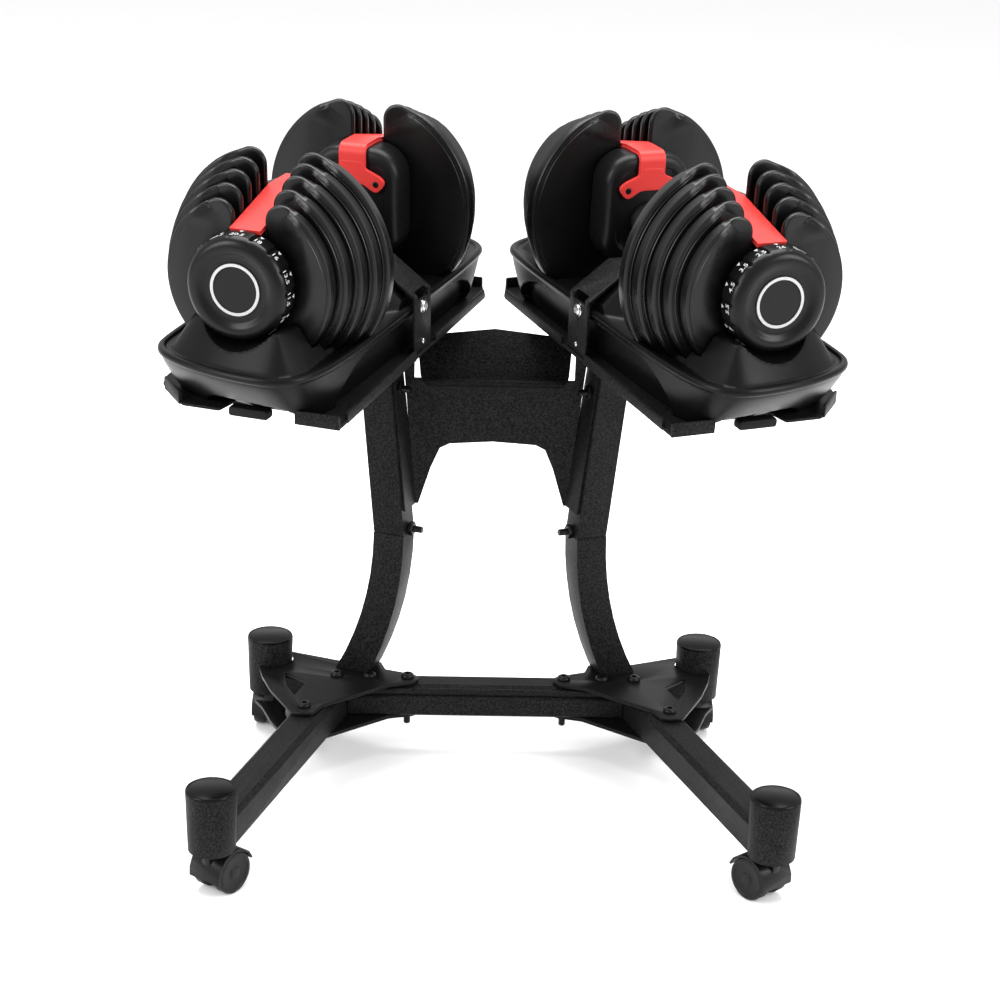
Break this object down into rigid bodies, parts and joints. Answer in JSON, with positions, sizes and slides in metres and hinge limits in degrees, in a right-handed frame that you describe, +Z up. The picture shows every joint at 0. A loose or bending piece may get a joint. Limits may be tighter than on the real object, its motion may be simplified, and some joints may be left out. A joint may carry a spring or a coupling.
{
  "type": "adjustable dumbbell set on stand",
  "caption": "Dial-selected adjustable dumbbells in moulded trays, strapped to the platforms of a black wheeled steel stand with swivel casters",
  "frame": {"origin": "on the floor, under the middle of the stand's outer box", "axes": "+X across the stand towards the right dumbbell, +Y to the back, +Z up"},
  "size_m": [0.6568, 0.5362, 0.6929],
  "materials": {
    "coated_steel": "charcoal speckled powder coat",
    "gusset_steel": "smooth dark satin coat",
    "tray_plastic": "fine-textured black moulding",
    "plate_coat": "satin black cover over metal",
    "dial_plastic": "satin black with white numerals",
    "housing_plastic": "satin black moulding",
    "red_plastic": "satin coral red",
    "soft_grip": "ribbed soft rubber",
    "caster_plastic": "black moulding",
    "caster_tread": "black tread"
  },
  "bodies": {
    "stand": {"crossbar": "coated_steel", "panel": "coated_steel", "right_base_arms": "coated_steel", "right_top_gusset": "gusset_steel", "right_bottom_gusset": "gusset_steel", "right_leg": "coated_steel", "right_post": "coated_steel", "right_platform": "coated_steel", "right_tray": "tray_plastic", "right_hold_down_strap": "coated_steel", "left_base_arms": "coated_steel", "left_top_gusset": "gusset_steel", "left_bottom_gusset": "gusset_steel", "left_leg": "coated_steel", "left_post": "coated_steel", "left_platform": "coated_steel", "left_tray": "tray_plastic", "left_hold_down_strap": "coated_steel", "left_front_plate_1": "plate_coat", "left_front_plate_2": "plate_coat", "left_back_plate_1": "plate_coat", "left_back_plate_2": "plate_coat"},
    "right_dumbbell": {"right_grip": "soft_grip", "right_front_housing": "housing_plastic", "right_back_housing": "housing_plastic", "right_front_rail": "red_plastic", "right_back_rail": "red_plastic", "right_front_plate_1": "plate_coat", "right_front_plate_2": "plate_coat", "right_front_plate_3": "plate_coat", "right_front_plate_4": "plate_coat", "right_front_plate_5": "plate_coat", "right_back_plate_1": "plate_coat", "right_back_plate_2": "plate_coat", "right_back_plate_3": "plate_coat", "right_back_plate_4": "plate_coat", "right_back_plate_5": "plate_coat"},
    "left_dumbbell": {"left_grip": "soft_grip", "left_front_housing": "housing_plastic", "left_back_housing": "housing_plastic", "left_front_rail": "red_plastic", "left_back_rail": "red_plastic", "left_front_plate_3": "plate_coat", "left_front_plate_4": "plate_coat", "left_front_plate_5": "plate_coat", "left_back_plate_3": "plate_coat", "left_back_plate_4": "plate_coat", "left_back_plate_5": "plate_coat"},
    "right_front_selector": {"right_front_dial": "dial_plastic"},
    "right_back_selector": {"right_back_dial": "dial_plastic"},
    "left_front_selector": {"left_front_dial": "dial_plastic"},
    "left_back_selector": {"left_back_dial": "dial_plastic"},
    "right_front_caster": {"right_front_caster_body": "caster_plastic"},
    "right_back_caster": {"right_back_caster_body": "caster_plastic"},
    "left_front_caster": {"left_front_caster_body": "caster_plastic"},
    "left_back_caster": {"left_back_caster_body": "caster_plastic"},
    "right_front_wheels": {"right_front_caster_wheels": "caster_tread"},
    "right_back_wheels": {"right_back_caster_wheels": "caster_tread"},
    "left_front_wheels": {"left_front_caster_wheels": "caster_tread"},
    "left_back_wheels": {"left_back_caster_wheels": "caster_tread"}
  },
  "joints": [
    {"name": "right_dumbbell_lift", "type": "slide", "parent": "stand", "child": "right_dumbbell", "axis": [0.0227, -0.0567, 0.9981], "range_m": [0, 0.25]},
    {"name": "left_dumbbell_lift", "type": "slide", "parent": "stand", "child": "left_dumbbell", "axis": [-0.0227, -0.0567, 0.9981], "range_m": [0, 0.25]},
    {"name": "right_front_dial_turn", "type": "hinge", "parent": "right_dumbbell", "child": "right_front_selector", "pos_m": [0.24704, -0.17197, 0.57158], "axis": [-0.3707, 0.9268, 0.061], "continuous": true},
    {"name": "right_back_dial_turn", "type": "hinge", "parent": "right_dumbbell", "child": "right_back_selector", "pos_m": [0.09136, 0.21726, 0.59722], "axis": [-0.3707, 0.9268, 0.061], "continuous": true},
    {"name": "left_front_dial_turn", "type": "hinge", "parent": "left_dumbbell", "child": "left_front_selector", "pos_m": [-0.24704, -0.17197, 0.57158], "axis": [0.3707, 0.9268, 0.061], "continuous": true},
    {"name": "left_back_dial_turn", "type": "hinge", "parent": "left_dumbbell", "child": "left_back_selector", "pos_m": [-0.09136, 0.21726, 0.59722], "axis": [0.3707, 0.9268, 0.061], "continuous": true},
    {"name": "right_front_swivel", "type": "hinge", "parent": "stand", "child": "right_front_caster", "pos_m": [0.266, -0.24345, 0.0476], "axis": [0, 0, 1], "continuous": true},
    {"name": "right_back_swivel", "type": "hinge", "parent": "stand", "child": "right_back_caster", "pos_m": [0.234, 0.11505, 0.0476], "axis": [0, 0, 1], "continuous": true},
    {"name": "left_front_swivel", "type": "hinge", "parent": "stand", "child": "left_front_caster", "pos_m": [-0.266, -0.24345, 0.0476], "axis": [0, 0, 1], "continuous": true},
    {"name": "left_back_swivel", "type": "hinge", "parent": "stand", "child": "left_back_caster", "pos_m": [-0.234, 0.11505, 0.0476], "axis": [0, 0, 1], "continuous": true},
    {"name": "right_front_roll", "type": "hinge", "parent": "right_front_caster", "child": "right_front_wheels", "pos_m": [0.258, -0.23321, 0.021], "axis": [0.788, 0.6157, 0], "continuous": true},
    {"name": "right_back_roll", "type": "hinge", "parent": "right_back_caster", "child": "right_back_wheels", "pos_m": [0.23219, 0.12792, 0.021], "axis": [0.9903, 0.1392, 0], "continuous": true},
    {"name": "left_front_roll", "type": "hinge", "parent": "left_front_caster", "child": "left_front_wheels", "pos_m": [-0.258, -0.23321, 0.021], "axis": [0.788, -0.6157, 0], "continuous": true},
    {"name": "left_back_roll", "type": "hinge", "parent": "left_back_caster", "child": "left_back_wheels", "pos_m": [-0.23219, 0.12792, 0.021], "axis": [0.9903, -0.1392, 0], "continuous": true}
  ]
}
